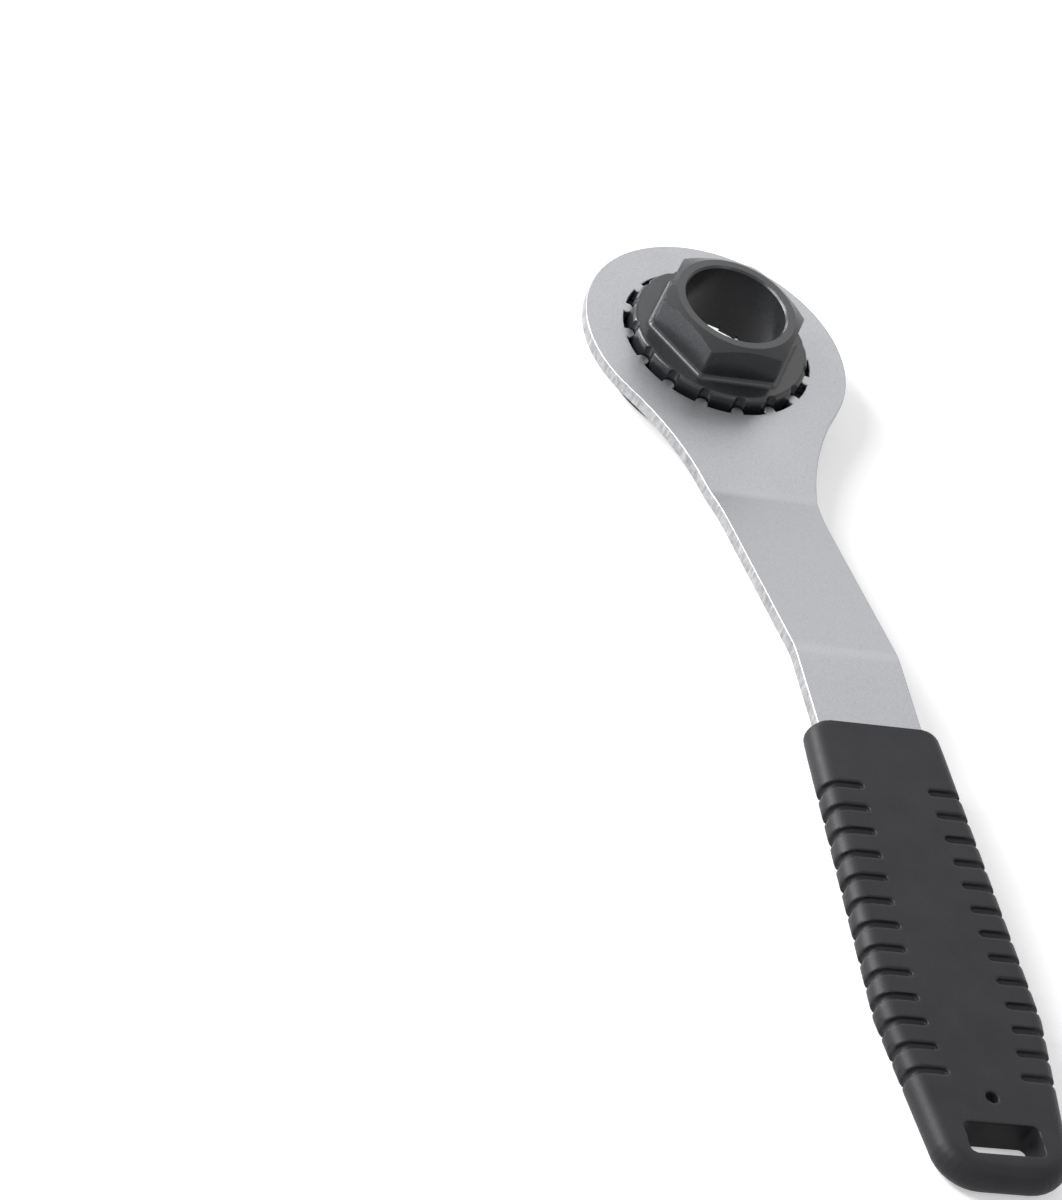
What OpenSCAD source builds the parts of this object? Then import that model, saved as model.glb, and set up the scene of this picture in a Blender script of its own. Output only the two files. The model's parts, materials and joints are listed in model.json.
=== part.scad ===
// Notched ring wrench for a lock nut: a flat joggled spanner with a moulded rubber grip,
// and the hexagon socket that its notched ring turns.
// Lengths are in millimetres. Every piece is drawn upright, with the socket's axis
// along Z and the handle along +X, and then laid down as the tool rests on a bench.

/* [Blade] */
// Thickness of the steel plate
plate_t = 3.2; // [2.6:0.1:4]
// Diameter of the round head
head_d = 66; // [60:1:76]
// Width of the shank
shank_w = 26; // [20:1:30]
// Radius of the hollow sweep from the head into the shank
neck_r = 75; // [40:5:90]
// Distance from the ring's centre to the first bend
bend_x = 51; // [42:1:60]
// Length of the sloping stretch, seen from above
slope_run = 62.5; // [50:0.5:70]
// How far the handle lies above the head
joggle_h = 14; // [6:1:20]
// Radius of both bends, at the middle of the plate
bend_r = 20; // [8:1:30]
// Length of the handle's straight stretch of bare plate, past the second bend
bare_run = 24.5; // [12:0.5:40]

/* [Notched ring] */
// Number of teeth in the ring, and of notches in the socket's rim
teeth = 16; // [12:1:18]
// Diameter across the ring's wide arcs
ring_d = 47; // [45.6:0.2:49]
// Diameter inside the tips of the teeth
tip_d = 42.6; // [41.4:0.2:43]
// Width of a tooth
tooth_w = 3.1; // [2.2:0.1:3.6]

/* [Grip] */
// Length of the rubber sleeve
grip_len = 129.5; // [124:0.5:150]
// Rubber over each face of the plate
cover_t = 2.5; // [2:0.1:4]
// Width at the front
front_w = 33; // [32:0.5:36]
// Greatest width
wide_w = 39.8; // [37:0.2:44]
// Distance from the front to the greatest width
wide_run = 83; // [70:1:95]
// Width at the rounded end
end_w = 32.4; // [28:0.2:36]
// Corner radius at the front, seen from above
front_corner_r = 5.5; // [3:0.5:8]
// Corner radius at the end, seen from above
end_corner_r = 10.5; // [8:0.5:12]

/* [Grip grooves] */
// Number of grooves on each side
grooves = 13; // [8:1:13]
// Distance from the front to the first groove
groove_start = 19.3; // [16:0.1:22]
// Spacing of the grooves
groove_pitch = 6.83; // [5:0.01:6.9]
// Width of a groove
groove_w = 1.9; // [1.2:0.1:2.6]
// Depth of a groove
groove_depth = 1.1; // [0.6:0.1:1.8]
// Reach of a groove inward from the grip's side
groove_reach = 9.4; // [7:0.1:12]
// Depth to which the side is rounded away beside each groove
scallop_depth = 0.45; // [0.2:0.05:0.8]
// Radius of that rounding
scallop_r = 5; // [3:0.5:8]

/* [Hang slot] */
// Length of the slot, across the grip
slot_w = 17.8; // [12:0.2:20]
// Width of the slot, along the grip
slot_l = 8.4; // [6:0.2:9]
// Corner radius of the slot
slot_corner_r = 1.6; // [1:0.1:2.5]
// Rubber between the slot and the grip's end
slot_end_wall = 6.3; // [5:0.1:8]
// Diameter of the moulding pin's hole
pin_d = 3; // [2:0.2:4]
// Distance from the grip's end to the pin hole
pin_end_run = 22; // [20:0.5:26]
// Distance from the grip's end to the end of the plate inside it
tang_end_run = 18; // [16:0.5:18.5]

/* [Socket] */
// Diameter of the notched rim
rim_d = 44; // [43:0.1:45]
// Height of the rim above the blade
rim_rise = 3.1; // [2:0.1:5]
// Radius of the rim's rounded upper edge
rim_edge_r = 1.1; // [0.5:0.1:1.8]
// Depth of the skirt below the blade
skirt_h = 7.8; // [6.5:0.1:12]
// Diameter of the skirt, whose shoulder carries the ring
skirt_d = 50; // [48:0.5:56]
// Width across the flats of the hexagon
hex_af = 32; // [30:0.5:34]
// Height of the hexagon above the rim
hex_h = 10; // [7:0.5:14]
// Radius of the hexagon's upright edges
hex_edge_r = 1.2; // [0.6:0.1:2]
// Radius of the hollow at the foot of the hexagon
foot_r = 1.5; // [0.8:0.1:2]
// Diameter of the flat face on top of the hexagon
top_d = 29.8; // [28:0.1:31]
// Slope of the turned chamfer round the top of the hexagon
top_slope = 30; // [20:1:40]
// Diameter of the hole through the socket
bore_d = 25; // [24.4:0.1:26]
// Diameter of the recess that takes the lock nut
recess_d = 37.2; // [35:0.1:38]
// Depth of the recess
recess_h = 6.5; // [4:0.1:8]
// Number of notches inside the recess
nut_notches = 16; // [8:1:20]
// Width of a notch inside the recess
nut_notch_w = 3; // [2:0.1:3.6]
// Depth of a notch inside the recess
nut_notch_depth = 1.2; // [0.6:0.1:1.6]
// Small chamfer on the turned edges
edge_chamfer = 0.5; // [0.2:0.1:0.8]

/* [Fits] */
// Side play of each tooth in its notch
tooth_side_play = 0.2; // [0.1:0.05:0.4]
// Play at the tip of each tooth
tooth_tip_play = 0.3; // [0.1:0.05:0.6]
// Gap between the rubber and the plate inside it
sleeve_gap = 0.02; // [0:0.01:0.1]

/* [Hidden] */
$fn = 96;
grip_fn = 32;
bend_steps = 5;
past = 1;

// Heights, measured upward from the socket's base
blade_z = skirt_h;
blade_top_z = blade_z + plate_t;
handle_mid_z = blade_z + plate_t / 2 + joggle_h;
rim_top_z = blade_top_z + rim_rise;
socket_h = rim_top_z + hex_h;

// Places along the handle, measured from the socket's axis
bend_2_x = bend_x + slope_run;
grip_x = bend_2_x + bare_run;
grip_end_x = grip_x + grip_len;
tang_end_x = grip_end_x - tang_end_run;
pin_x = grip_end_x - pin_end_run;
slot_x = grip_end_x - slot_end_wall - slot_l / 2;
wide_x = grip_x + wide_run;

// The blade's outline
head_r = head_d / 2;
sweep_x = sqrt(pow(head_r + neck_r, 2) - pow(shank_w / 2 + neck_r, 2));
sweep_y = shank_w / 2 + neck_r;
tang_corner_r = 3;
bend_angle = atan2(joggle_h, slope_run);
bend_tangent = bend_r * tan(bend_angle / 2);

// The ring's teeth and the notches that they sit in
tooth_tip_r = tip_d / 2;
notch_w = tooth_w + 2 * tooth_side_play;
notch_floor_r = tooth_tip_r - tooth_tip_play;

// The grip's section
grip_t = plate_t + 2 * cover_t;
grip_edge_r = grip_t / 2;
side_corner_r = grip_edge_r + 1;

// The hexagon
hex_flat = (hex_af - 2 * hex_edge_r) * tan(30);
hex_corner_x = (hex_af / 2 - hex_edge_r) / cos(30);

// How the tool lies: on the lower edge of the skirt and the end of the grip
foot_x = skirt_d / 2 - edge_chamfer;
heel_x = grip_end_x - grip_edge_r;
heel_reach = norm([heel_x - foot_x, handle_mid_z]);
lie_angle = atan2(handle_mid_z, heel_x - foot_x) - asin(grip_edge_r / heel_reach);
low_x = -head_r * cos(lie_angle) + blade_z * sin(lie_angle);
high_x = heel_x * cos(lie_angle) + handle_mid_z * sin(lie_angle) + grip_edge_r;

// Half the grip's width at a place along it, up to its greatest width and past it
function half_width(x) =
    x < wide_x ? front_w / 2 + (wide_w - front_w) / 2 * (x - grip_x) / wide_run
    : wide_w / 2 - (wide_w - end_w) / 2 * (x - wide_x) / (grip_end_x - end_corner_r - wide_x);

// Points on an arc about a centre, from one angle to another
function arc(centre, r, from, to, steps) =
    [for (i = [0:steps]) let (a = from + (to - from) * i / steps) centre + r * [cos(a), sin(a)]];

// Places the upright tool as it lies on a bench, with the origin under its middle
module laid() {
    translate([-(low_x + high_x) / 2, 0, foot_x * sin(lie_angle)])
        rotate([0, lie_angle, 0])
            children();
}

// Half of the sweep that joins the round head to the shank
module neck_sweep() {
    difference() {
        polygon([[0, 0], [sweep_x, 0], [sweep_x, sweep_y]]);
        translate([sweep_x, sweep_y]) circle(neck_r);
    }
}

// The blade's outline, seen from above
module blade_outline() {
    circle(head_r);
    neck_sweep();
    mirror([0, 1]) neck_sweep();
    translate([0, -shank_w / 2]) square([tang_end_x - tang_corner_r, shank_w]);
    for (side = [-1, 1])
        translate([tang_end_x - tang_corner_r, side * (shank_w / 2 - tang_corner_r)])
            circle(tang_corner_r);
    translate([0, tang_corner_r - shank_w / 2])
        square([tang_end_x, shank_w - 2 * tang_corner_r]);
}

// The ring's hole: wide arcs between narrow teeth with round tips
module ring_hole() {
    difference() {
        circle(ring_d / 2);
        for (i = [0:teeth - 1])
            rotate(i * 360 / teeth)
                translate([tooth_tip_r + tooth_w / 2, 0]) {
                    circle(tooth_w / 2);
                    translate([0, -tooth_w / 2]) square([ring_d / 2, tooth_w]);
                }
    }
}

// The bent plate, seen from the side
module blade_side() {
    head_mid_z = blade_z + plate_t / 2;
    half = plate_t / 2;
    low_bend = [bend_x - bend_tangent, head_mid_z + bend_r];
    high_bend = [bend_2_x + bend_tangent, handle_mid_z - bend_r];
    upper = concat(
        [[-head_r - past, head_mid_z + half]],
        arc(low_bend, bend_r - half, -90, -90 + bend_angle, bend_steps),
        arc(high_bend, bend_r + half, 90 + bend_angle, 90, bend_steps),
        [[tang_end_x + past, handle_mid_z + half]]);
    lower = concat(
        [[tang_end_x + past, handle_mid_z - half]],
        arc(high_bend, bend_r - half, 90, 90 + bend_angle, bend_steps),
        arc(low_bend, bend_r + half, -90 + bend_angle, -90, bend_steps),
        [[-head_r - past, head_mid_z - half]]);
    polygon(concat(upper, lower));
}

// One pressed plate: notched ring, neck, two bends, shank and the tang inside the grip
module wrench_blade() {
    laid() color([0.72, 0.73, 0.74])
        difference() {
            intersection() {
                linear_extrude(handle_mid_z + plate_t) blade_outline();
                rotate([90, 0, 0])
                    linear_extrude(head_d + 2 * past, center = true) blade_side();
            }
            linear_extrude(blade_top_z + past) ring_hole();
        }
}

// A disc with a rounded rim, for one corner of the grip
module grip_corner(x, y, corner_r, inset) {
    translate([x, y, handle_mid_z])
        rotate_extrude($fn = grip_fn) {
            translate([corner_r - grip_edge_r, 0])
                intersection() {
                    circle(grip_edge_r - inset, $fn = grip_fn);
                    translate([0, -grip_edge_r]) square(2 * grip_edge_r);
                }
            translate([0, inset - grip_edge_r])
                square([corner_r - grip_edge_r, 2 * (grip_edge_r - inset)]);
        }
}

// The grip's rounded body, drawn in on every side by the inset
module grip_body(inset) {
    front_step = 2 * side_corner_r;
    hull()
        for (side = [-1, 1]) {
            grip_corner(grip_x - front_step, side * (half_width(grip_x - front_step) - side_corner_r),
                side_corner_r, inset);
            grip_corner(wide_x, side * (wide_w / 2 - side_corner_r), side_corner_r, inset);
            grip_corner(grip_end_x - end_corner_r, side * (end_w / 2 - end_corner_r),
                end_corner_r, inset);
        }
}

// The flat front of the grip with its rounded corners, as a block that keeps the rest
module grip_front() {
    y = front_w / 2 - front_corner_r;
    translate([0, 0, handle_mid_z - grip_t])
        linear_extrude(2 * grip_t) {
            translate([grip_x, -y]) square([grip_len + past, 2 * y]);
            translate([grip_x + front_corner_r, -wide_w]) square([grip_len + past, 2 * wide_w]);
            for (side = [-1, 1])
                translate([grip_x + front_corner_r, side * y]) circle(front_corner_r);
        }
}

// One groove with a round inner end, which reaches out past the grip's side
module groove(x) {
    y = half_width(x) - groove_reach + groove_w / 2;
    translate([x, y, handle_mid_z - grip_t])
        linear_extrude(2 * grip_t) {
            circle(groove_w / 2, $fn = grip_fn);
            translate([-groove_w / 2, 0]) square([groove_w, 2 * groove_reach]);
        }
}

// The shallow rounding of the grip's side on both sides of a groove
module scallop(x) {
    translate([x, half_width(x) + scallop_r - scallop_depth, handle_mid_z - grip_t])
        cylinder(h = 2 * grip_t, r = scallop_r);
}

// The slot that the tool hangs by
module hang_slot() {
    x = slot_l / 2 - slot_corner_r;
    y = slot_w / 2 - slot_corner_r;
    translate([slot_x, 0, handle_mid_z - grip_t])
        linear_extrude(2 * grip_t) {
            square([2 * x, slot_w], center = true);
            square([slot_l, 2 * y], center = true);
            for (i = [-1, 1], j = [-1, 1])
                translate([i * x, j * y]) circle(slot_corner_r);
        }
}

// The plate's room inside the grip
module tang_room() {
    w = shank_w + 2 * sleeve_gap;
    r = tang_corner_r + sleeve_gap;
    translate([0, 0, handle_mid_z - plate_t / 2 - sleeve_gap])
        linear_extrude(plate_t + 2 * sleeve_gap) {
            translate([grip_x - past, -w / 2]) square([tang_end_x - tang_corner_r - grip_x + past, w]);
            translate([grip_x - past, r - w / 2])
                square([tang_end_x + sleeve_gap - grip_x + past, w - 2 * r]);
            for (side = [-1, 1])
                translate([tang_end_x - tang_corner_r, side * (w / 2 - r)]) circle(r);
        }
}

// One moulded rubber sleeve, with a row of grooves that wrap round each side
module grip() {
    laid() color([0.16, 0.16, 0.17])
        difference() {
            intersection() {
                union() {
                    difference() {
                        grip_body(0);
                        for (i = [0:grooves - 1], side = [0, 1])
                            mirror([0, side, 0]) {
                                groove(grip_x + groove_start + i * groove_pitch);
                                scallop(grip_x + groove_start + i * groove_pitch);
                            }
                    }
                    grip_body(groove_depth);
                }
                grip_front();
            }
            tang_room();
            hang_slot();
            translate([pin_x, 0, handle_mid_z]) cylinder(h = grip_t, d = pin_d, $fn = grip_fn);
        }
}

// A hexagon with rounded upright edges, seen from above, with a flat towards the handle
module hex_outline() {
    for (i = [0:2])
        rotate(i * 60) square([hex_af, hex_flat], center = true);
    for (i = [0:5])
        rotate(i * 60 + 30) translate([hex_corner_x, 0]) circle(hex_edge_r);
}

// The hexagon, trimmed at the top by a turned chamfer
module hex_head() {
    chamfer_r = top_d / 2 + hex_h / tan(top_slope);
    translate([0, 0, rim_top_z])
        intersection() {
            linear_extrude(hex_h) hex_outline();
            cylinder(h = hex_h, r1 = chamfer_r, r2 = top_d / 2);
        }
}

// The section of the hollow at the hexagon's foot
module foot_section() {
    difference() {
        square(foot_r);
        translate([foot_r, foot_r]) circle(foot_r, $fn = 48);
    }
}

// The hollow that runs round the foot of the hexagon
module hex_foot() {
    translate([0, 0, rim_top_z])
        for (i = [0:5]) {
            rotate(i * 60)
                translate([hex_af / 2, hex_flat / 2, 0])
                    rotate([90, 0, 0]) linear_extrude(hex_flat) foot_section();
            rotate(i * 60 + 30)
                translate([hex_corner_x, 0, 0])
                    rotate_extrude() {
                        translate([hex_edge_r, 0]) foot_section();
                        square([hex_edge_r, foot_r]);
                    }
        }
}

// The round skirt, with a small chamfer on both edges
module socket_skirt() {
    r = skirt_d / 2;
    rotate_extrude()
        polygon([[0, 0], [r - edge_chamfer, 0], [r, edge_chamfer],
            [r, blade_z - edge_chamfer], [r - edge_chamfer, blade_z], [0, blade_z]]);
}

// The outline of one notch in the rim, cut through the rim's side
module rim_notch() {
    translate([notch_floor_r + notch_w / 2, 0]) {
        circle(notch_w / 2);
        translate([0, -notch_w / 2]) square([rim_d, notch_w]);
    }
}

// The notched rim with a rounded upper edge, which stands on the skirt's shoulder
module socket_rim() {
    r = rim_d / 2;
    difference() {
        rotate_extrude()
            polygon(concat(
                [[0, blade_z], [r, blade_z]],
                arc([r - rim_edge_r, rim_top_z - rim_edge_r], rim_edge_r, 0, 90, 6),
                [[0, rim_top_z]]));
        translate([0, 0, blade_z - past])
            linear_extrude(rim_top_z)
                for (i = [0:teeth - 1])
                    rotate(i * 360 / teeth) rim_notch();
    }
}

// The outline of the recess that goes over the nut, with notches in its wall
module recess_outline() {
    circle(recess_d / 2);
    for (i = [0:nut_notches - 1])
        rotate(i * 360 / nut_notches)
            translate([0, -nut_notch_w / 2]) square([recess_d / 2 + nut_notch_depth, nut_notch_w]);
}

// The recess, with a small chamfer round its mouth
module nut_recess() {
    translate([0, 0, -past]) linear_extrude(recess_h + past) recess_outline();
    translate([0, 0, -edge_chamfer])
        cylinder(h = 2 * edge_chamfer, d1 = recess_d + 4 * edge_chamfer, d2 = recess_d);
}

// The bore right through the socket, opened by a small chamfer at the top
module through_bore() {
    translate([0, 0, -past]) cylinder(h = socket_h + 2 * past, d = bore_d);
    translate([0, 0, socket_h - edge_chamfer])
        cylinder(h = 2 * edge_chamfer, d1 = bore_d, d2 = bore_d + 4 * edge_chamfer);
}

// One machined socket: skirt, notched rim and hexagon round a through bore
module socket() {
    laid() color([0.13, 0.13, 0.14])
        difference() {
            union() {
                socket_skirt();
                socket_rim();
                hex_foot();
                hex_head();
            }
            nut_recess();
            through_bore();
        }
}

wrench_blade();
grip();
socket();
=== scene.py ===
"""Looks for a notched ring wrench with a moulded rubber grip and its black hexagon socket."""

import json
import math

import bmesh
import bpy
from mathutils import Matrix, Vector


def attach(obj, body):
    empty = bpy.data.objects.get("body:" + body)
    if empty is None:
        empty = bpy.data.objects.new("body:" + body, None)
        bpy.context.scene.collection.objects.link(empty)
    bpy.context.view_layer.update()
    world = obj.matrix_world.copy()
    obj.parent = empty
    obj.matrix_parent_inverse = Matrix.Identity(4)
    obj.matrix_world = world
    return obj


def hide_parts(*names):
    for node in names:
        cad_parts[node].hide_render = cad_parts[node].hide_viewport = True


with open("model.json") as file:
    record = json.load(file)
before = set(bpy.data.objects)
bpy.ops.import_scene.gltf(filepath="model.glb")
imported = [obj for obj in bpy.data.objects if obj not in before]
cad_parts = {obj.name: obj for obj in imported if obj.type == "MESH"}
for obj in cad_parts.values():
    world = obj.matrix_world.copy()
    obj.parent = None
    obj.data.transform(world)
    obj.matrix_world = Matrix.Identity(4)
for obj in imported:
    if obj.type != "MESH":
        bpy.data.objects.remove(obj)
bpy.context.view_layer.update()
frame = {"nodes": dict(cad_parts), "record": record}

MM = 0.001

# How the tool lies: the socket's axis leans towards the handle, which runs at a right angle to it
SLOT = next(m for m in frame["record"]["mounts"] if m["name"] == "hang_slot")
UPRIGHT = Vector(SLOT["axis"]).normalized()
ALONG = Vector((UPRIGHT.z, 0.0, -UPRIGHT.x))

# The camera, as the photograph sees the tool: a long lens, in pixels of the photograph
IMAGE_HEIGHT = 1200
FOCAL_PIXELS = 7000.0
SENSOR_HEIGHT = 36.0
FAR_CLIP = 20.0
VIEW_AZIMUTH = -28.21
VIEW_ELEVATION = 35.91
VIEW_ROLL = 23.89
VIEW_DISTANCE = 1576.0 * MM
VIEW_AIM = Vector((-30.31, -64.33, 0.0)) * MM

# How the loose triangles of a solid become whole faces
MERGE = 0.002 * MM
FLAT_ANGLE = math.radians(0.6)

# Edges as finished: an edge that turns by more than the sharp angle is broken by a small round
SHARP_ANGLE = math.radians(28)
BLADE_EDGE = 0.35 * MM
BLADE_EDGE_STEPS = 3
SOCKET_EDGE = 0.22 * MM
SOCKET_EDGE_STEPS = 2

# A face of the plate is a sheared side where its normal points at least this far across the handle,
# or less than this far upright
SHEARED_ACROSS = 0.75
SHEARED_UPRIGHT = 0.4

# Edges that stay crisp under smooth shading
BLADE_CRISP = math.radians(40)
GRIP_CRISP = math.radians(50)
SOCKET_CRISP = math.radians(35)
FLAT_FACE_WEIGHT = 100

# The rubber's skin: a fine voxel skin, softened and then thinned out
GRIP_VOXEL = 0.32 * MM
SOFTEN = 0.5
SOFTEN_PASSES = 2
KEPT_SHARE = 0.42

# The grip's front: its distance from the slot, half its width, how much each side widens along the
# handle, and the room for the plate inside it, all as in the solid
SLOT_TO_FRONT = 119.0 * MM
FRONT = Vector(SLOT["pos_m"]) - ALONG * SLOT_TO_FRONT
FRONT_HALF = 16.5 * MM
SIDE_SLOPE = 0.041
ROOM_HALF = 13.2 * MM
ROOM_RISE = 2.0 * MM

# Its corners, seen from above, which are smaller than the solid's, and where they take over
CORNER = 2.2 * MM
CORNER_RUN = 6.5 * MM
CORNER_STEP = 15

# The floor and the light levels: how far the floor glows, and how much light the sky gives
FLOOR_RADIUS = 2.5
FLOOR_SIDES = 96
FLOOR_GLOW = 0.42
SKY_LEVEL = 0.40


def merged_copy(node, name):
    """A new object with the node's mesh, its loose triangles merged and flat faces made whole."""
    mesh = frame["nodes"][node].data.copy()
    mesh.materials.clear()
    piece = bpy.data.objects.new(name, mesh)
    bpy.context.scene.collection.objects.link(piece)
    bm = bmesh.new()
    bm.from_mesh(mesh)
    bmesh.ops.remove_doubles(bm, verts=bm.verts, dist=MERGE)
    bmesh.ops.dissolve_limit(bm, angle_limit=FLAT_ANGLE, verts=bm.verts, edges=bm.edges)
    bm.to_mesh(mesh)
    bm.free()
    return piece


def round_sharp_edges(piece, width, segments):
    """Bevels every edge that turns by more than the sharp angle."""
    bm = bmesh.new()
    bm.from_mesh(piece.data)
    sharp = [e for e in bm.edges if len(e.link_faces) == 2 and e.calc_face_angle(0) > SHARP_ANGLE]
    bmesh.ops.bevel(bm, geom=sharp, offset=width, offset_type="OFFSET", affect="EDGES",
                    segments=segments, profile=0.5, material=-1, clamp_overlap=True)
    bm.to_mesh(piece.data)
    bm.free()


def shade(piece, angle):
    """Smooth shading that keeps flat faces flat and edges sharper than the angle crisp."""
    piece.data.shade_smooth()
    piece.data.set_sharp_from_angle(angle=angle)
    weights = piece.modifiers.new("flat_faces", "WEIGHTED_NORMAL")
    weights.keep_sharp = True
    weights.weight = FLAT_FACE_WEIGHT


def stands_for(piece, node, material):
    """Puts the piece in the place of its CAD node, with its finish."""
    piece.data.materials.append(material)
    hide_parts(node)
    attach(piece, "root")


class Finish:
    """A material's node tree, with short calls that add and join nodes."""

    # Places of a Mix node's sockets, which share their names: two inputs, and the output
    COLOURS = (6, 7, 2)
    VALUES = (2, 3, 0)

    def __init__(self, name):
        self.material = bpy.data.materials.new(name)
        self.material.use_nodes = True
        self.tree = self.material.node_tree
        self.shader = self.tree.nodes["Principled BSDF"]
        self.place = self.tree.nodes.new("ShaderNodeTexCoord").outputs["Object"]

    def join(self, source, node, socket):
        """Links an output to a node's input."""
        self.tree.links.new(source, node.inputs[socket])

    def stretched(self, scale):
        """Object coordinates scaled along each axis."""
        mapping = self.tree.nodes.new("ShaderNodeMapping")
        mapping.inputs["Scale"].default_value = scale
        self.join(self.place, mapping, "Vector")
        return mapping.outputs["Vector"]

    def noise(self, size, detail=2.0, rough=0.5, vector=None):
        """Noise with features of about this size, in metres."""
        node = self.tree.nodes.new("ShaderNodeTexNoise")
        node.inputs["Scale"].default_value = 1.0 / size
        node.inputs["Detail"].default_value = detail
        node.inputs["Roughness"].default_value = rough
        self.join(vector or self.place, node, "Vector")
        return node.outputs["Fac"]

    def spread(self, value, low, high, start=0.3, end=0.7):
        """Maps a value from start..end to low..high."""
        node = self.tree.nodes.new("ShaderNodeMapRange")
        node.inputs["From Min"].default_value = start
        node.inputs["From Max"].default_value = end
        node.inputs["To Min"].default_value = low
        node.inputs["To Max"].default_value = high
        self.join(value, node, "Value")
        return node.outputs["Result"]

    def mix(self, factor, low, high):
        """Mixes two colours, each written out or from a socket, by a factor."""
        node = self.tree.nodes.new("ShaderNodeMix")
        node.data_type = "RGBA"
        self.join(factor, node, "Factor")
        first, second, result = self.COLOURS
        for value, index in ((low, first), (high, second)):
            if isinstance(value, tuple):
                node.inputs[index].default_value = (*value, 1.0)
            else:
                self.join(value, node, index)
        return node.outputs[result]

    def blend(self, factor, low, high):
        """Mixes two value sockets by a factor."""
        node = self.tree.nodes.new("ShaderNodeMix")
        self.join(factor, node, "Factor")
        first, second, result = self.VALUES
        self.join(low, node, first)
        self.join(high, node, second)
        return node.outputs[result]

    def bump(self, height, depth, normal=None):
        """Bump from a height socket whose full range is this deep, in metres."""
        node = self.tree.nodes.new("ShaderNodeBump")
        node.inputs["Distance"].default_value = depth
        self.join(height, node, "Height")
        if normal is not None:
            self.join(normal, node, "Normal")
        return node.outputs["Normal"]

    def attribute(self, name):
        """A number that is stored on the mesh."""
        node = self.tree.nodes.new("ShaderNodeAttribute")
        node.attribute_name = name
        return node.outputs["Fac"]


def blasted_steel():
    """Nickel-plated plate: evenly blasted faces, and sheared sides with marks across the edge."""
    steel = Finish("blasted_steel")
    cloud = steel.noise(14 * MM, 3)
    grain = steel.noise(0.32 * MM, 2, 0.6)
    sheared = steel.attribute("sheared")
    marks = steel.noise(1.1 * MM, 3, 0.6, steel.stretched((1.0, 1.0, 0.35)))
    face_tint = steel.mix(steel.spread(grain, 0, 1),
                          (0.338, 0.343, 0.358), (0.418, 0.423, 0.440))
    side_tint = steel.mix(steel.spread(marks, 0, 1),
                          (0.24, 0.24, 0.247), (0.50, 0.50, 0.51))
    steel.join(steel.mix(sheared, face_tint, side_tint), steel.shader, "Base Color")
    face_gloss = steel.spread(cloud, 0.40, 0.44)
    side_gloss = steel.spread(marks, 0.30, 0.46)
    steel.join(steel.blend(sheared, face_gloss, side_gloss), steel.shader, "Roughness")
    steel.shader.inputs["Metallic"].default_value = 1.0
    fine = steel.bump(grain, 0.014 * MM)
    steel.join(steel.bump(marks, 0.02 * MM, fine), steel.shader, "Normal")
    return steel.material


def moulded_rubber():
    """Dark grey rubber with a fine matte skin."""
    rubber = Finish("moulded_rubber")
    cloud = rubber.noise(9 * MM, 3)
    skin = rubber.noise(0.35 * MM, 2, 0.6)
    tint = rubber.mix(rubber.spread(cloud, 0, 1),
                      (0.017, 0.017, 0.020), (0.023, 0.023, 0.027))
    rubber.join(tint, rubber.shader, "Base Color")
    rubber.join(rubber.spread(skin, 0.42, 0.54), rubber.shader, "Roughness")
    rubber.shader.inputs["Specular IOR Level"].default_value = 0.2
    rubber.join(rubber.bump(skin, 0.012 * MM), rubber.shader, "Normal")
    return rubber.material


def black_oxide():
    """Machined steel with a satin black finish, which shines as a paint does."""
    black = Finish("black_oxide")
    cloud = black.noise(6 * MM, 3)
    grain = black.noise(0.25 * MM, 2, 0.6)
    tint = black.mix(black.spread(cloud, 0, 1),
                     (0.012, 0.013, 0.015), (0.019, 0.020, 0.023))
    black.join(tint, black.shader, "Base Color")
    black.join(black.spread(grain, 0.26, 0.34), black.shader, "Roughness")
    black.shader.inputs["Specular IOR Level"].default_value = 0.5
    black.join(black.bump(grain, 0.001 * MM), black.shader, "Normal")
    return black.material


def make_blade():
    """The pressed plate, with its edges broken and its sheared sides marked for the finish."""
    blade = merged_copy("wrench_blade", "blade")
    round_sharp_edges(blade, BLADE_EDGE, BLADE_EDGE_STEPS)
    marked = blade.data.attributes.new("sheared", "FLOAT", "FACE")
    for face in blade.data.polygons:
        is_side = (abs(face.normal.y) > SHEARED_ACROSS
                   or abs(face.normal.dot(UPRIGHT)) < SHEARED_UPRIGHT)
        marked.data[face.index].value = 1.0 if is_side else 0.0
    shade(blade, BLADE_CRISP)
    stands_for(blade, "wrench_blade", blasted_steel())


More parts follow.
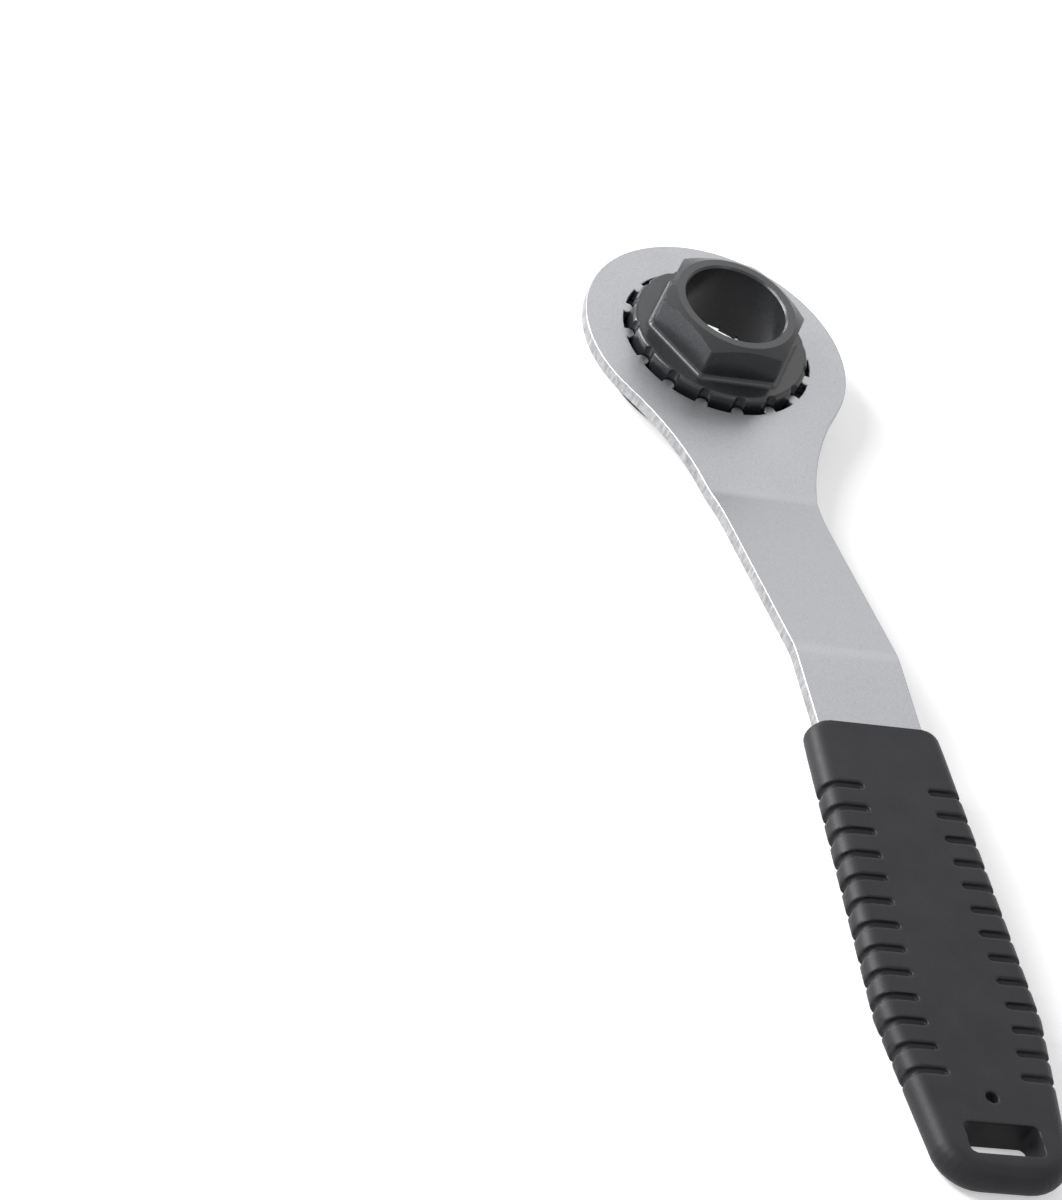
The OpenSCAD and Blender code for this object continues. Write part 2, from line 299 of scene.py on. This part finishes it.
def square_up_front(mesh):
    """Draws the grip's front out of its own section, with smaller corners than the solid's."""
    bm = bmesh.new()
    bm.from_mesh(mesh)
    cut = bmesh.ops.bisect_plane(bm, geom=bm.verts[:] + bm.edges[:] + bm.faces[:],
                                 plane_co=FRONT + ALONG * CORNER_RUN, plane_no=-ALONG,
                                 clear_outer=True)
    section = [e for e in cut["geom_cut"] if isinstance(e, bmesh.types.BMEdge)]
    room = [e for e in section
            if all(abs(v.co.y) < ROOM_HALF and abs((v.co - FRONT).dot(UPRIGHT)) < ROOM_RISE
                   for v in e.verts)]
    skin = [e for e in section if e not in room]

    def draw_out(edges, run, narrower):
        """Draws a loop of edges forward by the run, and scales its width."""
        new = bmesh.ops.extrude_edge_only(bm, edges=edges)["geom"]
        verts = [v for v in new if isinstance(v, bmesh.types.BMVert)]
        bmesh.ops.translate(bm, verts=verts, vec=ALONG * -run)
        bmesh.ops.scale(bm, verts=verts, vec=(1.0, narrower, 1.0))
        return [e for e in new if isinstance(e, bmesh.types.BMEdge)]

    room = draw_out(room, CORNER_RUN, 1.0)
    place, half = CORNER_RUN, FRONT_HALF + SIDE_SLOPE * CORNER_RUN
    for degrees in range(90, -1, -CORNER_STEP):
        turn = math.radians(degrees)
        new_place = CORNER * (1.0 - math.cos(turn))
        new_half = FRONT_HALF - CORNER * (1.0 - math.sin(turn))
        skin = draw_out(skin, place - new_place, new_half / half)
        place, half = new_place, new_half
    bmesh.ops.bridge_loops(bm, edges=skin + room)
    bmesh.ops.recalc_face_normals(bm, faces=bm.faces)
    bm.to_mesh(mesh)
    bm.free()


def make_grip():
    """The rubber sleeve with the soft edges of a moulding."""
    grip = merged_copy("grip", "rubber_sleeve")
    square_up_front(grip.data)
    remesh = grip.modifiers.new("skin", "REMESH")
    remesh.mode = "VOXEL"
    remesh.voxel_size = GRIP_VOXEL
    soften = grip.modifiers.new("soften", "SMOOTH")
    soften.factor = SOFTEN
    soften.iterations = SOFTEN_PASSES
    thin_out = grip.modifiers.new("thin_out", "DECIMATE")
    thin_out.ratio = KEPT_SHARE
    bpy.context.view_layer.update()
    finished = grip.evaluated_get(bpy.context.evaluated_depsgraph_get())
    skin = bpy.data.meshes.new_from_object(finished)
    grip.modifiers.clear()
    grip.data = skin
    shade(grip, GRIP_CRISP)
    stands_for(grip, "grip", moulded_rubber())


def make_socket():
    """The machined socket with its small edge breaks."""
    socket = merged_copy("socket", "hex_socket")
    round_sharp_edges(socket, SOCKET_EDGE, SOCKET_EDGE_STEPS)
    shade(socket, SOCKET_CRISP)
    stands_for(socket, "socket", black_oxide())


def light_path_share(tree):
    """1 for camera, glossy and transmission rays, and 0 for the rest."""
    path = tree.nodes.new("ShaderNodeLightPath")
    total = path.outputs["Is Camera Ray"]
    for name in ("Is Glossy Ray", "Is Transmission Ray"):
        add = tree.nodes.new("ShaderNodeMath")
        add.operation = "MAXIMUM"
        tree.links.new(total, add.inputs[0])
        tree.links.new(path.outputs[name], add.inputs[1])
        total = add.outputs[0]
    return total


def make_floor():
    """A plain white floor that keeps the tool's shadow."""
    bm = bmesh.new()
    bmesh.ops.create_circle(bm, cap_ends=True, segments=FLOOR_SIDES, radius=FLOOR_RADIUS)
    mesh = bpy.data.meshes.new("floor")
    bm.to_mesh(mesh)
    bm.free()
    floor = bpy.data.objects.new("floor", mesh)
    bpy.context.scene.collection.objects.link(floor)
    material = bpy.data.materials.new("floor_white")
    material.use_nodes = True
    tree = material.node_tree
    shader = tree.nodes["Principled BSDF"]
    shader.inputs["Base Color"].default_value = (0.80, 0.80, 0.80, 1.0)
    shader.inputs["Roughness"].default_value = 0.9
    shader.inputs["Specular IOR Level"].default_value = 0.0
    glow = tree.nodes.new("ShaderNodeMath")
    glow.operation = "MULTIPLY"
    glow.inputs[1].default_value = FLOOR_GLOW
    tree.links.new(light_path_share(tree), glow.inputs[0])
    shader.inputs["Emission Color"].default_value = (1.0, 1.0, 1.0, 1.0)
    tree.links.new(glow.outputs[0], shader.inputs["Emission Strength"])
    mesh.materials.append(material)


def make_world():
    """White behind the tool and in its gloss, and a soft even light on it."""
    world = bpy.data.worlds.new("studio")
    bpy.context.scene.world = world
    world.use_nodes = True
    tree = world.node_tree
    background = tree.nodes["Background"]
    background.inputs["Color"].default_value = (1.0, 1.0, 1.0, 1.0)
    level = tree.nodes.new("ShaderNodeMapRange")
    level.inputs["To Min"].default_value = SKY_LEVEL
    level.inputs["To Max"].default_value = 1.0
    tree.links.new(light_path_share(tree), level.inputs["Value"])
    tree.links.new(level.outputs["Result"], background.inputs["Strength"])


def softbox(name, place, aim, size, watts):
    """A square area lamp that points at a place on the tool."""
    lamp = bpy.data.lights.new(name, "AREA")
    lamp.size = size
    lamp.energy = watts
    holder = bpy.data.objects.new(name, lamp)
    bpy.context.scene.collection.objects.link(holder)
    holder.location = place
    holder.rotation_euler = (Vector(aim) - Vector(place)).to_track_quat("-Z", "Y").to_euler()


def make_lights():
    """The key and a lower lamp at the left, and weaker ones behind, in front and at the head."""
    softbox("key", (-0.12, -0.95, 0.88), (0.0, 0.0, 0.01), 0.42, 8.5)
    softbox("back", (-1.00, 0.50, 0.86), (-0.1, 0.0, 0.01), 0.5, 0.8)
    softbox("front", (0.70, 0.50, 0.92), (-0.1, 0.0, 0.02), 0.3, 0.8)
    softbox("rim", (-1.25, -0.26, 0.30), (-0.1, 0.0, 0.02), 0.35, 2.0)
    softbox("side", (-0.68, -0.88, 0.45), (0.0, 0.0, 0.01), 0.6, 18.0)


def make_camera():
    """The photograph's view: a long lens from above the handle's end, rolled as the photo is."""
    azimuth = math.radians(VIEW_AZIMUTH)
    elevation = math.radians(VIEW_ELEVATION)
    back = Vector((math.cos(azimuth) * math.cos(elevation),
                   math.sin(azimuth) * math.cos(elevation),
                   math.sin(elevation)))
    lens = bpy.data.cameras.new("camera")
    lens.sensor_fit = "VERTICAL"
    lens.sensor_height = SENSOR_HEIGHT
    lens.lens = FOCAL_PIXELS / IMAGE_HEIGHT * SENSOR_HEIGHT
    lens.clip_end = FAR_CLIP
    camera = bpy.data.objects.new("camera", lens)
    bpy.context.scene.collection.objects.link(camera)
    level = back.to_track_quat("Z", "Y").to_matrix()
    turn = level @ Matrix.Rotation(math.radians(VIEW_ROLL), 3, "Z")
    camera.matrix_world = Matrix.Translation(VIEW_AIM + back * VIEW_DISTANCE) @ turn.to_4x4()
    bpy.context.scene.camera = camera


make_blade()
make_grip()
make_socket()
make_floor()
make_world()
make_lights()
make_camera()
bpy.context.scene.view_settings.view_transform = "Standard"
